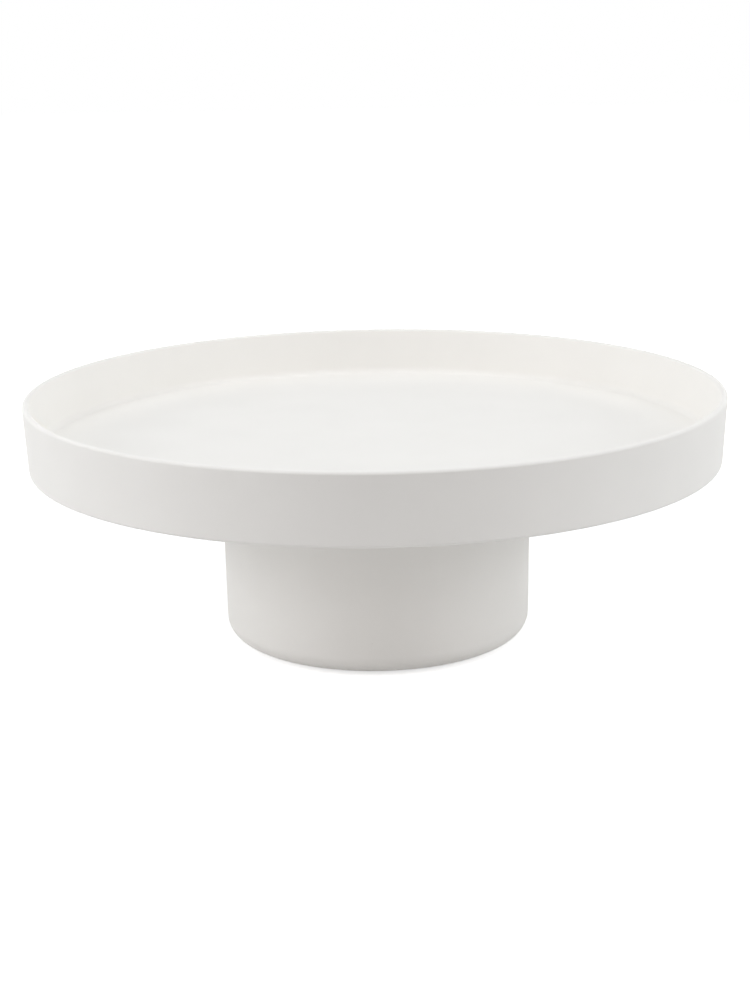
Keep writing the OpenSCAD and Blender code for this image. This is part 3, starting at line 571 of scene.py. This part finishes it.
def make_screws(name, shape, count, circle, first_turn, bearing, tip_turn):
    """A ring of cross-head screws with cut threads."""
    sizes = {**in_metres({**shape, "Count": count, "Circle": circle, "Bearing height": bearing}),
             "First turn": first_turn, "Tip turn": tip_turn}
    tree, size = sizes_tree(name + "_threaded", sizes)
    core = turned(tree, [
        (0.0, size["Head height"], 0.0),
        (size["Head radius"], size["Head height"], size["Head rounding"]),
        (size["Head radius"], size["Head edge"], 0.0),
        (size["Shank radius"], size["Under head"], 0.0),
        (size["Shank radius"], size["Thread start"], 0.0),
        (size["Core radius"], size["Thread start"], 0.0),
        (size["Core radius"], size["Thread end"], 0.0),
        (size["Tip radius"], size["Length"], 0.0), (0.0, size["Length"], 0.0),
    ], segments=32)
    rise = add(tree, "ShaderNodeMath", {0: size["Thread start"], 1: size["Thread end"]},
               operation="SUBTRACT").outputs[0]
    turns = add(tree, "ShaderNodeMath", {0: rise, 1: size["Thread pitch"]},
                operation="DIVIDE").outputs[0]
    helix = add(tree, "GeometryNodeCurveSpiral", {
        "Resolution": 24, "Rotations": turns, "Start Radius": size["Core radius"],
        "End Radius": size["Core radius"], "Height": rise}).outputs[0]
    helix = add(tree, "GeometryNodeSetCurveNormal", {"Curve": helix}, mode="Z_UP").outputs[0]
    depth = add(tree, "ShaderNodeMath", {0: size["Thread radius"], 1: size["Core radius"]},
                operation="SUBTRACT").outputs[0]
    root = [add(tree, "ShaderNodeMath", {0: size["Thread pitch"], 1: share},
                operation="MULTIPLY").outputs[0] for share in RIDGE_ROOT]
    ridge = add(tree, "GeometryNodeTransform", {
        "Geometry": outline(tree, [(root[0], root[1], 0.0), (depth, 0.0, 0.0),
                                   (root[0], root[2], 0.0)], closed=True),
        "Rotation": (HALF_TURN, 0, 0)}).outputs[0]
    thread = add(tree, "GeometryNodeCurveToMesh",
                 {"Curve": helix, "Profile Curve": ridge, "Fill Caps": True}).outputs[0]
    lower = add(tree, "ShaderNodeCombineXYZ", {"Z": size["Thread end"]}).outputs[0]
    thread = add(tree, "GeometryNodeTransform", {"Geometry": thread, "Translation": lower}).outputs[0]
    reach, foot = [(size[key], add(tree, "ShaderNodeMath", {0: size[key], 1: -1.0},
                                   operation="MULTIPLY").outputs[0])
                   for key in ("Recess reach", "Recess foot reach")]
    above = add(tree, "ShaderNodeMath", {0: size["Head height"], 1: CLEAR}).outputs[0]
    arm = web(tree, [(reach[1], above, 0.0), (reach[0], above, 0.0),
                     (foot[0], size["Recess depth"], 0.0), (foot[1], size["Recess depth"], 0.0)],
              size["Recess width"])
    cross_arm = add(tree, "GeometryNodeTransform",
                    {"Geometry": arm, "Rotation": (0, 0, QUARTER_TURN)}).outputs[0]
    screw = cut(tree, joined(tree, core, thread), joined(tree, arm, cross_arm))
    place = add(tree, "ShaderNodeCombineXYZ", {"Z": size["Bearing height"]}).outputs[0]
    tip = add(tree, "ShaderNodeCombineXYZ", {"X": size["Tip turn"]}).outputs[0]
    tip = add(tree, "FunctionNodeEulerToRotation", {0: tip}).outputs[0]
    screw = add(tree, "GeometryNodeTransform",
                {"Geometry": screw, "Translation": place, "Rotation": tip}).outputs[0]
    ring = around(tree, screw, size["Count"], size["Circle"], size["First turn"])
    return grow(name + "_threaded", tree, ring, sizes, zinc)


for name, screw in SCREWS.items():
    screws = make_screws(name, *screw)
    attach(screws, next(body for body, nodes in frame["record"]["behaviour"]["bodies"].items()
                         if name in nodes))
    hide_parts(name)


# ---------- Carried-over pieces ----------

CARRIED = {
    "pedestal_deck": natural_abs, "foot_ring": silicone, "ballast_plate": mild_steel,
    "ballast_pad": foam, "lower_race": zinc_sheet, "upper_race": zinc_sheet, "axle_bush": acetal,
    "hub_insert": brass, "axle_bolt": zinc, "thrust_washer": nylon, "flat_washer": zinc,
    "disc_spring": spring_steel,
}
for name, material in CARRIED.items():
    for slot in frame["nodes"][name].material_slots:
        slot.material = material


# ---------- Camera and light ----------


def look_from(place, turn, pitch, roll):
    """A camera's place and bearing: turned from +Y, pitched down, rolled, in degrees."""
    return (Matrix.Translation(place) @ Matrix.Rotation(math.radians(turn), 4, "Z")
            @ Matrix.Rotation(math.radians(90 - pitch), 4, "X")
            @ Matrix.Rotation(math.radians(roll), 4, "Z"))


camera_data = bpy.data.cameras.new("camera")
camera_data.lens = 68.41  # millimetres, as is the sensor
camera_data.sensor_width = 36
camera = bpy.data.objects.new("camera", camera_data)
bpy.context.scene.collection.objects.link(camera)
camera.matrix_world = look_from((0, -0.8042, 0.2718), turn=0.0402, pitch=14.863, roll=-0.908)
bpy.context.scene.camera = camera

# Eleven soft panels, a metre square, all turned to the middle of the piece: five mirrored pairs, and one
# overhead behind. They stand just off the floor, or hang on a high or an overhead ring. The left front
# one is stronger than the right, so the piece shades from left to right. The rear pair lights the back.
PANEL = 1.0
AIM = Vector((0, 0, 0.06))
DAYLIGHT = "#FBFDFF"
WARM_WHITE = "#FFF8F6"
STANDING = (1.68, PANEL / 2 + 0.01)  # metres out and up
HIGH = (1.39, 1.04)
OVERHEAD = (0.80, 1.56)
# name: ring, degrees round from the front, watts on the left, watts on the right, colour
PAIRS = {
    "front": (STANDING, 30, 4.5, 2.0, WARM_WHITE),
    "side": (STANDING, 90, 10.0, 10.0, DAYLIGHT),
    "rear": (STANDING, 150, 3.5, 3.5, DAYLIGHT),
    "high": (HIGH, 60, 5.0, 5.0, DAYLIGHT),
    "above": (OVERHEAD, 60, 7.0, 7.0, DAYLIGHT),
}
BACK_WATTS = 5.0


def panel(name, ring, turn, watts, colour):
    """A square soft panel on a ring, turned about the piece from the front, positive to the right."""
    out, up = ring
    angle = math.radians(turn)
    place = Vector((out * math.sin(angle), -out * math.cos(angle), up))
    lamp = bpy.data.lights.new(name, "AREA")
    lamp.shape = "SQUARE"
    lamp.size = PANEL
    lamp.energy = watts
    lamp.color = rgb(colour)[:3]
    lamp_object = bpy.data.objects.new(name, lamp)
    bpy.context.scene.collection.objects.link(lamp_object)
    lamp_object.location = place
    lamp_object.rotation_euler = (AIM - place).to_track_quat("-Z", "Y").to_euler()


for name, (ring, turn, left_watts, right_watts, colour) in PAIRS.items():
    panel("left_" + name, ring, -turn, left_watts, colour)
    panel("right_" + name, ring, turn, right_watts, colour)
panel("back", OVERHEAD, 180, BACK_WATTS, DAYLIGHT)


def backdrop_rays(tree):
    """1 for a ray from the camera, a reflection or a refraction, and 0 for one that lights."""
    rays = add(tree, "ShaderNodeLightPath").outputs
    seen = add(tree, "ShaderNodeMath", {0: rays["Is Camera Ray"], 1: rays["Is Glossy Ray"]},
               operation="MAXIMUM").outputs[0]
    return add(tree, "ShaderNodeMath", {0: seen, 1: rays["Is Transmission Ray"]},
               operation="MAXIMUM").outputs[0]


world = bpy.data.worlds.new("white_studio")
bpy.context.scene.world = world
world.use_nodes = True
tree = world.node_tree
tree.nodes.clear()
room = add(tree, "ShaderNodeBackground", {"Color": rgb("#FFFFFF"), "Strength": 0.0}).outputs[0]
backdrop = add(tree, "ShaderNodeBackground", {"Color": rgb("#FFFFFF"), "Strength": 1.0}).outputs[0]
mixed = add(tree, "ShaderNodeMixShader",
            {0: backdrop_rays(tree), 1: room, 2: backdrop}).outputs[0]
add(tree, "ShaderNodeOutputWorld", {"Surface": mixed})

FLOOR_HALF = 4.0
SHEET_R = 0.16   # the white sheet's tone, and the shadow's share of it, hold up to here
TABLE_R = 0.3    # from here on there is only the table's tone
WHITE_R = 0.5    # from here on the floor is seen as plain white
NEAR_GLOW = 0.6  # on the sheet the lamps' light adds the rest of the white, so the shadow shows
floor_mesh = bpy.data.meshes.new("floor")
floor_mesh.from_pydata([(-FLOOR_HALF, -FLOOR_HALF, 0), (FLOOR_HALF, -FLOOR_HALF, 0),
                        (FLOOR_HALF, FLOOR_HALF, 0), (-FLOOR_HALF, FLOOR_HALF, 0)], [], [(0, 1, 2, 3)])
floor = bpy.data.objects.new("floor", floor_mesh)
bpy.context.scene.collection.objects.link(floor)
# A round sheet of white paper lies under the piece, on a pale grey table. The camera sees both as
# white as the backdrop, and the piece's soft shadow stays on the sheet.
paper = bpy.data.materials.new("white_paper_floor")
paper.use_nodes = True
tree = paper.node_tree
tree.nodes.clear()
spot = add(tree, "ShaderNodeTexCoord").outputs["Object"]
away = add(tree, "ShaderNodeVectorMath", {0: spot}, operation="LENGTH").outputs["Value"]
glow = add(tree, "ShaderNodeMapRange", {
    "Value": away, "From Min": SHEET_R, "From Max": WHITE_R, "To Min": NEAR_GLOW, "To Max": 1.0,
}, interpolation_type="SMOOTHSTEP").outputs["Result"]
glow = add(tree, "ShaderNodeMath", {0: backdrop_rays(tree), 1: glow},
           operation="MULTIPLY").outputs[0]
table = add(tree, "ShaderNodeMapRange", {"Value": away, "From Min": SHEET_R, "From Max": TABLE_R},
            interpolation_type="SMOOTHSTEP").outputs["Result"]
tone = add(tree, "ShaderNodeMix", {"Factor": table, "A": rgb("#EEEEEE"), "B": rgb("#BCBCBC")},
           data_type="RGBA").outputs["Result"]
lit = add(tree, "ShaderNodeBsdfDiffuse", {"Color": tone}).outputs[0]
white = add(tree, "ShaderNodeEmission", {"Color": rgb("#FFFFFF"), "Strength": glow}).outputs[0]
both = add(tree, "ShaderNodeAddShader", {0: lit, 1: white}).outputs[0]
add(tree, "ShaderNodeOutputMaterial", {"Surface": both})
floor_mesh.materials.append(paper)

bpy.context.scene.view_settings.view_transform = "Standard"
